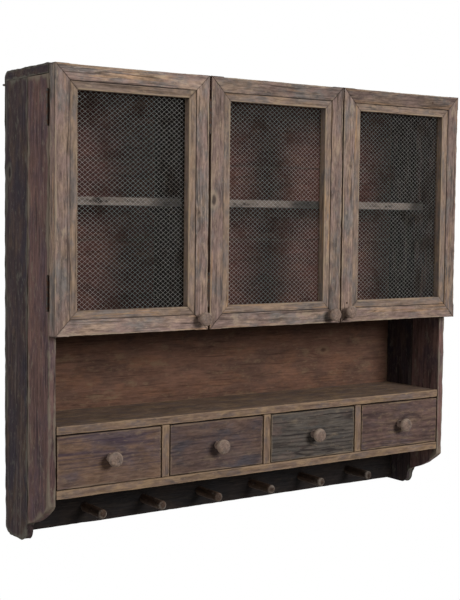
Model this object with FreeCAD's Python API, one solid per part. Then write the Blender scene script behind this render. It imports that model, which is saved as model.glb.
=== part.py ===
import FreeCAD, Part
import os
from math import sqrt

from FreeCAD import Vector

os.makedirs("parts", exist_ok=True)

# Rustic wall cabinet of reclaimed boards, in millimetres.
# The origin is on the wall, midway between the two hanging eyes: X to the right, Y into the wall, Z up.

# Driving dimensions of the case
width = 1000.0            # over the two sides
depth = 185.0             # wall to the front edges of the sides
board = 17.0              # sides, top, shelves, floor, deck and partition
back_thick = 15.0
top_z = 24.0              # top of the cabinet above the hanging line
foot_z = -869.0           # lowest point of the sides
top_back_radius = 14.0    # worn rear edge of the top board
side_joint = 97.0         # wall to the glued joint between the two boards of a side

# Heights of the boards across the case, each at its upper face
shelf_z = -212.0
floor_z = -445.0
drawer_shelf_z = -636.0
deck_z = -756.0
shelf_depth = 110.0

# Foot of a side, as distances from the wall and heights
belly_top_z = -785.0      # where the straight front edge ends
belly_mid = (150.0, -811.0)
cove_start_z = -833.0     # where the scroll crosses the joint
cove_mid = (91.5, -840.5)
toe_start = (88.5, -851.5)
toe_mid = (84.3, -862.0)
toe_end = 72.0
heel_radius = 18.0

# Back boards, as the heights of the seams between them
seam_heights = (-138.0, -297.0, -455.0, -640.0, -762.0)
seam_gap = 0.8
back_foot_z = -864.0

# Doors
door_height = 491.0
door_thick = 25.0
door_clear = 2.0          # between the doors and the case
door_top_z = top_z - 1.0
hinge_seam = 4.4          # between the left and the middle door, where a hinge stands
meeting_seam = 3.0        # between the middle and the right door
frame_wide = 30.0
bead_wide = 16.0
bead_set_back = 1.5       # bead behind the face of the frame
mesh_set_back = 18.0
mesh_thick = 1.0
mesh_lap = 6.0            # mesh held behind the bead
mesh_bar = 0.8            # breadth of a bar between two openings
mesh_cells = (8, 17)      # openings across and up a door
strip_wide = 12.0

# Hinges
hinge_long = 64.0
hinge_from_end = 78.0     # middle of a hinge to the end of its door
knuckle_count = 5
knuckle_slack = 0.2
leaf_thick = 0.9
leaf_wide = 15.0
barrel_radius = 2.3
pin_radius = 1.2
pin_slack = 0.05
pin_cap = 1.4
barrel_out = 2.6          # axis of an outer hinge beyond the side
slim_barrel_radius = 1.9
slim_pin_radius = 1.0
slim_axis_back = 1.5      # axis of the middle hinge behind the door faces
slim_clear = 2.2          # from that axis to the straight part of its leaves
screw_head_radius = 2.4
slim_screw_head_radius = 2.2
screw_radius = 1.3
screw_long = 13.0
screw_spread = 40.0

# Drawers
drawer_count = 4
divider = 18.0
drawer_side_slack = 1.5
drawer_top_slack = 2.2
drawer_foot_slack = 0.8
drawer_front_set_back = 1.0
drawer_front_thick = 16.0
drawer_rear = 35.0        # wall to the back of a drawer
drawer_wall = 10.0
drawer_wall_inset = 1.0   # box narrower than its front, each side
drawer_wall_drop = 16.0   # box lower than its front
drawer_bottom_thick = 6.0

# Turned knobs: radius and reach of the head, and where they stand on the doors
drawer_knob_radius = 14.5
drawer_knob_reach = 29.0
door_knob_radius = 13.5
door_knob_reach = 25.0
knob_tenon_radius = 4.0
knob_tenon_long = 12.0
knob_base = (0.62, 0.0)   # outline as shares of radius and reach
knob_waist = (0.5, 0.2)
knob_collar = (0.7, 0.46)
knob_rim = (1.0, 0.68)
knob_brow = (0.72, 0.92)
knob_places = {"left": (15.5, 22.0), "middle": (26.0, 18.5), "right": (14.5, 22.5)}

# Peg rail
rail_thick = 21.0
rail_foot_z = -865.0
peg_count = 6
peg_pitch = 137.6
peg_z = -832.0
peg_tenon_radius = 7.0
peg_radius = 9.6
peg_long = 78.0
peg_dome = 6.0

# Hanging eyes
eye_bore_radius = 4.0
eye_ring_radius = 7.5
eye_thick = 3.0
eye_out = 10.5            # middle of the eye behind the wall plane
eye_shank_radius = 1.8
eye_shank_long = 28.0
eye_collar_radius = 3.5
eye_collar_long = 1.5

# Cleats under the inner shelves
cleat_wide = 12.0
cleat_high = 15.0
cleat_long = 90.0

# Places that follow from these
half = width / 2
inner = half - board
under_top = top_z - board
front = -depth
back_face = -back_thick
door_back = front - door_clear
door_face = door_back - door_thick
door_foot_z = door_top_z - door_height
door_wide = (width - hinge_seam - meeting_seam) / 3
doors = {
    "left": (-half, -half + door_wide),
    "middle": (-half + door_wide + hinge_seam, half - door_wide - meeting_seam),
    "right": (half - door_wide, half),
}
partition_x = -half + door_wide + hinge_seam / 2
partition_left = partition_x - board / 2
partition_right = partition_x + board / 2
hinge_heights = (door_top_z - hinge_from_end, door_foot_z + hinge_from_end)
opening_wide = (2 * inner - (drawer_count - 1) * divider) / drawer_count
up = Vector(0, 0, 1)
outwards = Vector(0, -1, 0)
inwards = Vector(0, 1, 0)


def box(x0, x1, y0, y1, z0, z1):
    low = Vector(min(x0, x1), min(y0, y1), min(z0, z1))
    return Part.makeBox(abs(x1 - x0), abs(y1 - y0), abs(z1 - z0), low)


def rod(radius, start, direction, length):
    return Part.makeCylinder(radius, length, start, direction)


def fused(pieces):
    whole = pieces[0].multiFuse(pieces[1:])
    return whole.removeSplitter()


def drilled(piece, holes):
    for hole in holes:
        piece = piece.cut(hole)
    return piece


def save(node, pieces):
    solids = []
    for piece in pieces:
        solids.extend(piece.Solids)
    shape = solids[0] if len(solids) == 1 else Part.makeCompound(solids)
    shape.exportStep("parts/" + node + ".step")


def arc(start, middle, end):
    return Part.Arc(start, middle, end).toShape()


def prism(edges, direction):
    return Part.Face(Part.Wire(edges)).extrude(direction)


# Sides: each is a front board that ends in a belly, glued to a rear board with a cove and a rounded foot.
def side_point(x, from_wall, z):
    return Vector(x, -from_wall, z)


def side_front_board(x):
    top_front = side_point(x, depth, under_top)
    top_rear = side_point(x, side_joint, under_top)
    joint_foot = side_point(x, side_joint, cove_start_z)
    belly_top = side_point(x, depth, belly_top_z)
    edges = [
        Part.LineSegment(top_front, top_rear).toShape(),
        Part.LineSegment(top_rear, joint_foot).toShape(),
        arc(joint_foot, side_point(x, *belly_mid), belly_top),
        Part.LineSegment(belly_top, top_front).toShape(),
    ]
    return prism(edges, Vector(board, 0, 0))


def side_rear_board(x):
    heel_z = foot_z + heel_radius
    bend = heel_radius * (1 - 1 / sqrt(2))
    top_front = side_point(x, side_joint, under_top)
    joint_foot = side_point(x, side_joint, cove_start_z)
    toe = side_point(x, *toe_start)
    foot_front = side_point(x, toe_end, foot_z)
    heel_start = side_point(x, heel_radius, foot_z)
    heel_end = side_point(x, 0, heel_z)
    top_rear = side_point(x, 0, under_top)
    edges = [
        Part.LineSegment(top_front, joint_foot).toShape(),
        arc(joint_foot, side_point(x, *cove_mid), toe),
        arc(toe, side_point(x, *toe_mid), foot_front),
        Part.LineSegment(foot_front, heel_start).toShape(),
        arc(heel_start, side_point(x, bend, foot_z + bend), heel_end),
        Part.LineSegment(heel_end, top_rear).toShape(),
        Part.LineSegment(top_rear, top_front).toShape(),
    ]
    return prism(edges, Vector(board, 0, 0))


# Screws: a flat head let into a leaf and a shank in the wood behind it.
def screw(place, direction, head_radius, leaf):
    head = rod(head_radius, place, direction, leaf)
    shank = rod(screw_radius, place, direction, screw_long)
    return fused([head, shank])


def screw_pair(x, y, hinge_z, direction, head_radius):
    pair = []
    for side in (-1, 1):
        place = Vector(x, y, hinge_z + side * screw_spread / 2)
        pair.append(screw(place, direction, head_radius, leaf_thick))
    return pair


# Hinges: knuckles alternate between the fixed leaf, which has the end ones, and the moving leaf.
def knuckle_spans(hinge_z, moving):
    pitch = hinge_long / knuckle_count
    spans = []
    for number in range(knuckle_count):
        if (number % 2 == 1) == moving:
            low = hinge_z - hinge_long / 2 + number * pitch
            spans.append((low + knuckle_slack / 2, low + pitch - knuckle_slack / 2))
    return spans


def leaf_on_barrel(plates, tab, axis_x, axis_y, hinge_z, barrel, pin, moving):
    pieces = list(plates)
    for low, high in knuckle_spans(hinge_z, moving):
        x0, x1, y0, y1 = tab
        pieces.append(box(x0, x1, y0, y1, low, high))
        pieces.append(rod(barrel, Vector(axis_x, axis_y, low), up, high - low))
    pin_hole = rod(pin + pin_slack, Vector(axis_x, axis_y, hinge_z - hinge_long), up, 2 * hinge_long)
    return fused(pieces).cut(pin_hole)


def hinge_pin(axis_x, axis_y, hinge_z, barrel, pin):
    foot = Vector(axis_x, axis_y, hinge_z - hinge_long / 2 - pin_cap)
    crown = Vector(axis_x, axis_y, hinge_z + hinge_long / 2)
    shaft = rod(pin, foot, up, hinge_long + 2 * pin_cap)
    return fused([shaft, rod(barrel, foot, up, pin_cap), rod(barrel, crown, up, pin_cap)])


def outer_hinge(side, hinge_z):
    axis_x = side * (half + barrel_out)
    axis_y = front - door_clear / 2
    low = hinge_z - hinge_long / 2
    high = hinge_z + hinge_long / 2
    leaf_end = side * (half - leaf_wide)
    screw_x = side * (half - leaf_wide / 2)

    def leaf(y0, y1, moving):
        plate = box(side * half, leaf_end, y0, y1, low, high)
        tab = (side * half, axis_x, y0, y1)
        return leaf_on_barrel([plate], tab, axis_x, axis_y, hinge_z, barrel_radius, pin_radius, moving)

    case_screws = screw_pair(screw_x, front - leaf_thick, hinge_z, inwards, screw_head_radius)
    door_screws = screw_pair(screw_x, door_back + leaf_thick, hinge_z, outwards, screw_head_radius)
    return {
        "case_leaf": drilled(leaf(front - leaf_thick, front, False), case_screws),
        "door_leaf": drilled(leaf(door_back, door_back + leaf_thick, True), door_screws),
        "pin": hinge_pin(axis_x, axis_y, hinge_z, barrel_radius, pin_radius),
        "case_screws": case_screws,
        "door_screws": door_screws,
    }


def slim_hinge(hinge_z):
    axis_x = partition_x
    axis_y = door_face + slim_axis_back
    plate_front = axis_y + slim_clear
    low = hinge_z - hinge_long / 2
    high = hinge_z + hinge_long / 2
    web_right = axis_x - slim_pin_radius / 2
    web_left = web_right - leaf_thick
    edge = doors["middle"][0]
    web = box(web_left, web_right, plate_front, front, low, high)
    foot = box(partition_left, web_right, front - leaf_thick, front, low, high)
    web_tab = (web_left, web_right, axis_y, plate_front)
    plate = box(edge - leaf_thick, edge, plate_front, plate_front + leaf_wide, low, high)
    plate_tab = (edge - leaf_thick, edge, axis_y, plate_front)
    sizes = (axis_x, axis_y, hinge_z, slim_barrel_radius, slim_pin_radius)
    case_screw_x = (partition_left + web_left) / 2
    case_screws = screw_pair(case_screw_x, front - leaf_thick, hinge_z, inwards, slim_screw_head_radius)
    door_screw_y = plate_front + leaf_wide / 2
    rightwards = Vector(1, 0, 0)
    door_screws = screw_pair(edge - leaf_thick, door_screw_y, hinge_z, rightwards, slim_screw_head_radius)
    return {
        "case_leaf": drilled(leaf_on_barrel([web, foot], web_tab, *sizes, False), case_screws),
        "door_leaf": drilled(leaf_on_barrel([plate], plate_tab, *sizes, True), door_screws),
        "pin": hinge_pin(*sizes),
        "case_screws": case_screws,
        "door_screws": door_screws,
    }


hinges = {
    "left": [outer_hinge(-1, z) for z in hinge_heights],
    "middle": [slim_hinge(z) for z in hinge_heights],
    "right": [outer_hinge(1, z) for z in hinge_heights],
}


def hinge_pieces(door, name):
    found = []
    for hinge in hinges[door]:
        piece = hinge[name]
        found.extend(piece if isinstance(piece, list) else [piece])
    return found


# Turned pieces: half an outline of radius and reach, turned about a line that leaves the face.
def turned(place, edges):
    face = Part.Face(Part.Wire(edges))
    solid = face.revolve(Vector(0, 0, 0), inwards, 360)
    solid.translate(place)
    return solid


def turn_point(radius, reach):
    return Vector(radius, -reach, 0)


def domed(rim_radius, rim_reach, tip_reach):
    rise = tip_reach - rim_reach
    ball = (rim_radius ** 2 + rise ** 2) / (2 * rise)
    halfway = tip_reach - ball + sqrt(ball ** 2 - (rim_radius / 2) ** 2)
    rim = turn_point(rim_radius, rim_reach)
    return arc(rim, turn_point(rim_radius / 2, halfway), turn_point(0, tip_reach))


def knob(place, radius, reach):
    def on_outline(shares):
        return turn_point(shares[0] * radius, shares[1] * reach)

    tenon_foot = turn_point(0, -knob_tenon_long)
    tenon_rim = turn_point(knob_tenon_radius, -knob_tenon_long)
    tenon_root = turn_point(knob_tenon_radius, 0)
    base = on_outline(knob_base)
    collar = on_outline(knob_collar)
    brow_radius = knob_brow[0] * radius
    brow_reach = knob_brow[1] * reach
    return turned(place, [
        Part.LineSegment(tenon_foot, tenon_rim).toShape(),
        Part.LineSegment(tenon_rim, tenon_root).toShape(),
        Part.LineSegment(tenon_root, base).toShape(),
        arc(base, on_outline(knob_waist), collar),
        arc(collar, on_outline(knob_rim), on_outline(knob_brow)),
        domed(brow_radius, brow_reach, reach),
        Part.LineSegment(turn_point(0, reach), tenon_foot).toShape(),
    ])


def tenon_hole(place):
    return rod(knob_tenon_radius, place, inwards, knob_tenon_long)


def peg(place):
    foot = turn_point(0, -rail_thick)
    foot_rim = turn_point(peg_tenon_radius, -rail_thick)
    tenon_root = turn_point(peg_tenon_radius, 0)
    shoulder = turn_point(peg_radius, 0)
    brow_reach = peg_long - peg_dome
    return turned(place, [
        Part.LineSegment(foot, foot_rim).toShape(),
        Part.LineSegment(foot_rim, tenon_root).toShape(),
        Part.LineSegment(tenon_root, shoulder).toShape(),
        Part.LineSegment(shoulder, turn_point(peg_radius, brow_reach)).toShape(),
        domed(peg_radius, brow_reach, peg_long),
        Part.LineSegment(turn_point(0, peg_long), foot).toShape(),
    ])


# Mitred frames: two uprights and two rails around an opening.
def mitred_frame(x0, x1, z0, z1, wide, y0, y1):
    def bar(corners):
        points = [Vector(x, y0, z) for x, z in corners]
        edges = [
            Part.LineSegment(points[n], points[(n + 1) % len(points)]).toShape()
            for n in range(len(points))
        ]
        return prism(edges, Vector(0, y1 - y0, 0))

    left = bar([(x0, z0), (x0 + wide, z0 + wide), (x0 + wide, z1 - wide), (x0, z1)])
    right = bar([(x1, z0), (x1, z1), (x1 - wide, z1 - wide), (x1 - wide, z0 + wide)])
    foot = bar([(x0, z0), (x1, z0), (x1 - wide, z0 + wide), (x0 + wide, z0 + wide)])
    head = bar([(x0, z1), (x0 + wide, z1 - wide), (x1 - wide, z1 - wide), (x1, z1)])
    return {"uprights": [left, right], "rails": [foot, head]}


# Mesh: a flat lattice of diamond openings, wider than those of the woven wire, with a plain border.
def lattice(x0, x1, z0, z1, y0, y1):
    columns = 2 * mesh_cells[0]
    rows = 2 * mesh_cells[1]
    half_wide = (x1 - x0) / columns
    half_high = (z1 - z0) / rows
    slant = sqrt(half_wide ** 2 + half_high ** 2)
    shrink = 1 - mesh_bar * slant / (2 * half_wide * half_high)
    reach_x = half_wide * shrink
    reach_z = half_high * shrink

    def outline(corners):
        points = [Vector(x, y0, z) for x, z in corners + corners[:1]]
        return Part.makePolygon(points)

    left = x0 - mesh_lap
    right = x1 + mesh_lap
    foot = z0 - mesh_lap
    head = z1 + mesh_lap
    sheet = Part.Face(outline([(left, foot), (right, foot), (right, head), (left, head)]))
    openings = []
    for column in range(columns + 1):
        for row in range(rows + 1):
            in_corner = column in (0, columns) and row in (0, rows)
            if (column + row) % 2 == 1 or in_corner:
                continue
            x = x0 + column * half_wide
            z = z0 + row * half_high
            corners = []
            if column > 0:
                corners.append((x - reach_x, z))
            if row < rows:
                corners.append((x, z + reach_z))
            if column < columns:
                corners.append((x + reach_x, z))
            if row > 0:
                corners.append((x, z - reach_z))
            openings.append(outline(corners))
    sheet.cutHoles(openings)
    sheet.validate()
    return sheet.extrude(Vector(0, y1 - y0, 0))


# Case
case_screws = []
for door in doors:
    case_screws.extend(hinge_pieces(door, "case_screws"))

eyes = []
for side in (-1, 1):
    eye_x = side * (half - board / 2)
    middle = Vector(eye_x, eye_out, -eye_thick / 2)
    collar_end = Vector(eye_x, eye_collar_long, 0)
    shank_start = Vector(eye_x, eye_out - eye_bore_radius, 0)
    shank_long = shank_start.y + eye_shank_long
    body = fused([
        rod(eye_ring_radius, middle, up, eye_thick),
        rod(eye_shank_radius, shank_start, outwards, shank_long),
        rod(eye_collar_radius, collar_end, outwards, eye_collar_long),
    ])
    eyes.append(body.cut(rod(eye_bore_radius, middle, up, eye_thick)))

for name, x in (("left", -half), ("right", inner)):
    save(name + "_side_front_board", [drilled(side_front_board(x), case_screws)])
    save(name + "_side_rear_board", [drilled(side_rear_board(x), eyes)])

top = box(-half, half, front, 0, under_top, top_z)
rear_edges = [
    edge for edge in top.Edges
    if edge.BoundBox.YMin > -0.001 and edge.BoundBox.ZMin > top_z - 0.001
]
save("top_board", [top.makeFillet(top_back_radius, rear_edges)])

save("cabinet_floor", [box(-inner, inner, front, back_face, floor_z - board, floor_z)])
partition = box(partition_left, partition_right, front, back_face, floor_z, under_top)
save("partition", [drilled(partition, case_screws)])
shelf_front = back_face - shelf_depth
shelf_foot = shelf_z - board
save("left_shelf", [box(-inner, partition_left, shelf_front, back_face, shelf_foot, shelf_z)])
save("right_shelf", [box(partition_right, inner, shelf_front, back_face, shelf_foot, shelf_z)])
save("drawer_shelf", [box(-inner, inner, front, back_face, drawer_shelf_z - board, drawer_shelf_z)])
save("drawer_deck", [box(-inner, inner, front, back_face, deck_z - board, deck_z)])

cleats = []
for wall, side in ((-inner, 1), (partition_left, -1), (partition_right, 1), (inner, -1)):
    cleat_foot = shelf_foot - cleat_high
    cleat_front = back_face - cleat_long
    cleats.append(box(wall, wall + side * cleat_wide, cleat_front, back_face, cleat_foot, shelf_foot))
save("shelf_cleats", cleats)

dividers = []
for number in range(1, drawer_count):
    x = -inner + number * opening_wide + (number - 1) * divider
    dividers.append(box(x, x + divider, front, back_face, deck_z, drawer_shelf_z - board))
save("drawer_dividers", dividers)

back_boards = []
upper = under_top
for lower in seam_heights + (back_foot_z,):
    back_boards.append(box(-inner, inner, back_face, 0, lower, upper))
    upper = lower - seam_gap
save("back_boards", back_boards)

rail_face = back_face - rail_thick
peg_places = []
for number in range(peg_count):
    peg_x = (number - (peg_count - 1) / 2) * peg_pitch
    peg_places.append(Vector(peg_x, rail_face, peg_z))
rail = box(-inner, inner, rail_face, back_face, rail_foot_z, deck_z - board)
rail = drilled(rail, [rod(peg_tenon_radius, place, inwards, rail_thick) for place in peg_places])
save("peg_rail", [rail])
save("pegs", [peg(place) for place in peg_places])
save("hanging_eyes", eyes)

case_leaves = []
pins = []
for door in doors:
    case_leaves.extend(hinge_pieces(door, "case_leaf"))
    pins.extend(hinge_pieces(door, "pin"))
save("case_hinge_leaves", case_leaves)
save("hinge_pins", pins)
save("case_hinge_screws", case_screws)

# Doors: the left and middle ones hang at their left edge, the right one at its right edge.
mesh_face = door_face + mesh_set_back
mesh_back = mesh_face + mesh_thick
mesh_edge = frame_wide + bead_wide
mesh_at_left = lattice(
    doors["left"][0] + mesh_edge, doors["left"][1] - mesh_edge,
    door_foot_z + mesh_edge, door_top_z - mesh_edge,
    mesh_face, mesh_back,
)
for door, (x0, x1) in doors.items():
    node = "door_" + door
    inset, rise = knob_places[door]
    knob_x = x0 + inset if door == "right" else x1 - inset
    knob_place = Vector(knob_x, door_face, door_foot_z + rise)
    screws = hinge_pieces(door, "door_screws")
    holes = screws + [tenon_hole(knob_place)]

    frame = mitred_frame(x0, x1, door_foot_z, door_top_z, frame_wide, door_face, door_back)
    save(node + "_stiles", [drilled(bar, holes) for bar in frame["uprights"]])
    save(node + "_rails", [drilled(bar, holes) for bar in frame["rails"]])

    open_x0 = x0 + frame_wide
    open_x1 = x1 - frame_wide
    open_z0 = door_foot_z + frame_wide
    open_z1 = door_top_z - frame_wide
    bead_face = door_face + bead_set_back
    bead = mitred_frame(open_x0, open_x1, open_z0, open_z1, bead_wide, bead_face, mesh_face)
    save(node + "_beads", bead["uprights"] + bead["rails"])
    strips = mitred_frame(open_x0, open_x1, open_z0, open_z1, strip_wide, mesh_back, door_back)
    save(node + "_mesh_strips", strips["uprights"] + strips["rails"])
    save(node + "_mesh", [mesh_at_left.translated(Vector(x0 - doors["left"][0], 0, 0))])

    save(node + "_knob", [knob(knob_place, door_knob_radius, door_knob_reach)])
    save(node + "_hinge_leaves", hinge_pieces(door, "door_leaf"))
    save(node + "_hinge_screws", screws)

# Drawers: a front on a plain nailed box, running on the deck between the dividers.
for number in range(drawer_count):
    node = "drawer_" + str(number + 1)
    x0 = -inner + number * (opening_wide + divider) + drawer_side_slack
    x1 = x0 + opening_wide - 2 * drawer_side_slack
    z0 = deck_z + drawer_foot_slack
    z1 = drawer_shelf_z - board - drawer_top_slack
    y0 = front + drawer_front_set_back
    y1 = y0 + drawer_front_thick
    knob_place = Vector((x0 + x1) / 2, y0, (z0 + z1) / 2)
    save(node + "_front", [box(x0, x1, y0, y1, z0, z1).cut(tenon_hole(knob_place))])

    box_x0 = x0 + drawer_wall_inset
    box_x1 = x1 - drawer_wall_inset
    rear = -drawer_rear
    floor_top = z0 + drawer_bottom_thick
    wall_top = z1 - drawer_wall_drop
    save(node + "_box", [
        box(box_x0, box_x0 + drawer_wall, y1, rear, floor_top, wall_top),
        box(box_x1 - drawer_wall, box_x1, y1, rear, floor_top, wall_top),
        box(box_x0 + drawer_wall, box_x1 - drawer_wall, rear - drawer_wall, rear, floor_top, wall_top),
    ])
    save(node + "_bottom", [box(box_x0, box_x1, y1, rear, z0, floor_top)])
    save(node + "_knob", [knob(knob_place, drawer_knob_radius, drawer_knob_reach)])
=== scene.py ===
import math

import bmesh
import bpy
from mathutils import Matrix, Vector
from mathutils.kdtree import KDTree


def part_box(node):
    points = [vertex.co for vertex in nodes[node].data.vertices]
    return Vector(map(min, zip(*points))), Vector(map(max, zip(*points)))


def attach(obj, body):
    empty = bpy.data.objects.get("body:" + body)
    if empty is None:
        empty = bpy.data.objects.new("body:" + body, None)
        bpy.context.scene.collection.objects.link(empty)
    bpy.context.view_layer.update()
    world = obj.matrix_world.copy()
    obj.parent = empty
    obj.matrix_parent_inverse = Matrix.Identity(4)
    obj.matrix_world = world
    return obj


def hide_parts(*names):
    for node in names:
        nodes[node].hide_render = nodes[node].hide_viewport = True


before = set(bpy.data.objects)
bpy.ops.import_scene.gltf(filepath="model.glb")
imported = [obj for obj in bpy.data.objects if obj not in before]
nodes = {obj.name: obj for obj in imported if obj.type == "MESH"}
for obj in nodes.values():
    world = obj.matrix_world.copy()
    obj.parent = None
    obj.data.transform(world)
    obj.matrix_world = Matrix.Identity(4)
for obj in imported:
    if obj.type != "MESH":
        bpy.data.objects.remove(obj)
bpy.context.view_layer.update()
mm = 0.001
xAxis, yAxis, zAxis = 0, 1, 2
hair = 0.001 * mm  # moves shorter than this are left out
close = 0.02 * mm  # points nearer than this are at one place
touch = 0.1 * mm  # points nearer than this to an edge lie on it
print("frame loaded:", len(nodes), "nodes")

# the photograph's view: the camera stands left of the cabinet and looks a little down
cameraView = {
    "place": (-1.5062, -2.2004, -0.2475), "yaw": 34.94, "pitch": -3.878, "roll": 0.616,
    "lens": 73.92, "sensor": 36, "farEnd": 50,
}


def setCamera(view):
    data = bpy.data.cameras.new("viewCamera")
    data.lens = view["lens"]
    data.sensor_width = view["sensor"]
    data.clip_end = view["farEnd"]
    camera = bpy.data.objects.new("viewCamera", data)
    bpy.context.scene.collection.objects.link(camera)
    turn = Matrix.Rotation(math.radians(-view["yaw"]), 4, "Z")
    tilt = Matrix.Rotation(math.radians(90 + view["pitch"]), 4, "X")
    roll = Matrix.Rotation(math.radians(view["roll"]), 4, "Z")
    camera.matrix_world = Matrix.Translation(view["place"]) @ turn @ tilt @ roll
    bpy.context.scene.camera = camera
    bpy.context.scene.view_settings.view_transform = "Standard"


def tone(code):
    # a written colour as the linear one that a shader takes
    parts = [int(code[i:i + 2], 16) / 255 for i in (1, 3, 5)]
    return [p / 12.92 if p <= 0.04045 else ((p + 0.055) / 1.055) ** 2.4 for p in parts] + [1]


# short ways to add shader nodes: a socket given as a value is linked, anything else is set
def addNode(tree, kind, sockets, **settings):
    node = tree.nodes.new("ShaderNode" + kind)
    for name, value in settings.items():
        setattr(node, name, value)
    for name, value in sockets.items():
        if isinstance(value, bpy.types.NodeSocket):
            tree.links.new(value, node.inputs[name])
        else:
            node.inputs[name].default_value = value
    return node


def calc(tree, operation, a, b=0.0):
    return addNode(tree, "Math", {0: a, 1: b}, operation=operation).outputs[0]


def vectorCalc(tree, operation, a, b):
    second = "Scale" if operation == "SCALE" else 1
    return addNode(tree, "VectorMath", {0: a, second: b}, operation=operation).outputs[0]


def ramp(tree, value, low, high, start=0.0, end=1.0):
    sockets = {"Value": value, "From Min": low, "From Max": high, "To Min": start, "To Max": end}
    return addNode(tree, "MapRange", sockets, interpolation_type="SMOOTHSTEP").outputs[0]


def mixTone(tree, share, a, b):
    return addNode(tree, "Mix", {0: share, 6: a, 7: b}, data_type="RGBA").outputs[2]


shiftShares = (1, 0.7, 1.3)  # a pattern's shift along each axis


def stretched(tree, place, perMetre, shift=0.0):
    sockets = {"Vector": place, "Scale": perMetre, "Location": [shift * share for share in shiftShares]}
    return addNode(tree, "Mapping", sockets).outputs[0]


def noise(tree, place, perMetre, shift, detail, rough=0.6):
    spot = stretched(tree, place, perMetre, shift)
    sockets = {"Vector": spot, "Scale": 1.0, "Detail": detail, "Roughness": rough}
    return addNode(tree, "TexNoise", sockets).outputs[0]


def newMaterial(name):
    material = bpy.data.materials.new(name)
    material.use_nodes = True
    material.node_tree.nodes.clear()
    return material, material.node_tree


def closeMaterial(tree, shader):
    addNode(tree, "OutputMaterial", {"Surface": shader.outputs[0]})


# soft light from the front and above, a weaker one on the left side,
# and a surround that is white to the camera and dim as a light
stageSet = {
    "floorPlace": (0, -0.1, -1.75), "floorRadius": 1.3, "floorSides": 96, "floorTone": "#d9d6d1",
    "fadeStart": 0.35, "leastFade": 0.5, "ambient": 0.115, "aim": (0, -0.1, -0.42),
    "keyPlace": (1.1, -3.9, 0.9), "keySize": 1.8, "keyPower": 143,
    "fillPlace": (-4.2, -0.5, 0.5), "fillSize": 2.4, "fillPower": 70,
}
white = (1, 1, 1, 1)


def aimedLamp(name, stage):
    data = bpy.data.lights.new(name + "Lamp", "AREA")
    data.shape = "DISK"
    data.size = stage[name + "Size"]
    data.energy = stage[name + "Power"]
    lamp = bpy.data.objects.new(name + "Lamp", data)
    bpy.context.scene.collection.objects.link(lamp)
    lamp.location = stage[name + "Place"]
    towards = Vector(stage["aim"]) - lamp.location
    lamp.rotation_euler = towards.to_track_quat("-Z", "Y").to_euler()


def setSurround(stage):
    world = bpy.data.worlds.new("studio")
    bpy.context.scene.world = world
    world.use_nodes = True
    tree = world.node_tree
    tree.nodes.clear()
    rays = addNode(tree, "LightPath", {}).outputs
    seen = calc(tree, "MAXIMUM", rays["Is Camera Ray"], rays["Is Glossy Ray"])
    seen = calc(tree, "MAXIMUM", seen, rays["Is Transmission Ray"])
    strength = ramp(tree, seen, 0, 1, stage["ambient"], 1)
    surround = addNode(tree, "Background", {"Color": white, "Strength": strength})
    addNode(tree, "OutputWorld", {"Surface": surround.outputs[0]})


def setFloor(stage):
    # a pale disc that fades into the surround from its middle out
    bpy.ops.object.select_all(action="DESELECT")
    bpy.ops.mesh.primitive_circle_add(
        vertices=stage["floorSides"], radius=stage["floorRadius"], fill_type="NGON",
        location=stage["floorPlace"])
    floor = bpy.context.object
    floor.name = "studioFloor"
    material, tree = newMaterial("paleFloor")
    paint = addNode(tree, "BsdfDiffuse", {"Color": tone(stage["floorTone"])})
    glow = addNode(tree, "Emission", {"Color": white, "Strength": 1.0})
    place = addNode(tree, "TexCoord", {}).outputs["Object"]
    out = addNode(tree, "VectorMath", {0: place}, operation="LENGTH").outputs["Value"]
    rays = addNode(tree, "LightPath", {}).outputs
    fade = ramp(tree, out, stage["fadeStart"], stage["floorRadius"], stage["leastFade"], 1)
    fade = calc(tree, "MULTIPLY", fade, rays["Is Camera Ray"])
    both = addNode(tree, "MixShader", {0: fade, 1: paint.outputs[0], 2: glow.outputs[0]})
    closeMaterial(tree, both)
    floor.data.materials.append(material)


setCamera(cameraView)
aimedLamp("key", stageSet)
aimedLamp("fill", stageSet)
setSurround(stageSet)
setFloor(stageSet)
print("camera and stage set")

# weathered wood: blotches, rings round a pith, fibres, checks and knots, with worn arrises and soiled seams,
# and, through the same soil layer, painted shade on the inner faces of the compartments
woodColours = ("base", "cool", "warm", "streak", "dark", "worn", "soil")
plainFigure = {
    "blotch": 1.0, "streakForce": 0.3, "sway": 0.012, "ringPitch": 0.009, "ringForce": 0.35,
    "fibreForce": 0.16, "checkForce": 0.5, "knotRarity": 0.9, "gain": 1.0,
}
woodInputs = {"grain": "Vector", "pith": "Vector", "wear": "Float", "grimeAndShade": "Float"}
woodInputs |= dict.fromkeys(woodColours, "Color") | dict.fromkeys(plainFigure, "Float")
# each noise: repeats per metre along and across the grain, shift, detail and roughness
woodNoises = {
    "jitter": (3, 45, 5, 3, 0.6), "clear": (5, 14, 41, 2, 0.6), "fibre": (16, 760, 2, 3, 0.6),
    "fleck": (45, 240, 8, 3, 0.7), "shortChecks": (7, 250, 11, 2, 0.5), "longCracks": (2.6, 75, 37, 2, 0.5),
    "cracked": (4, 30, 53, 2, 0.6), "cool": (13, 24, 3, 6, 0.66), "warm": (13, 28, 17, 6, 0.66),
    "streak": (4, 66, 23, 4, 0.6), "smudge": (16, 42, 29, 5, 0.62), "scuff": (55, 170, 61, 4, 0.7),
    "rubbed": (22, 48, 67, 5, 0.68),
}
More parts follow.
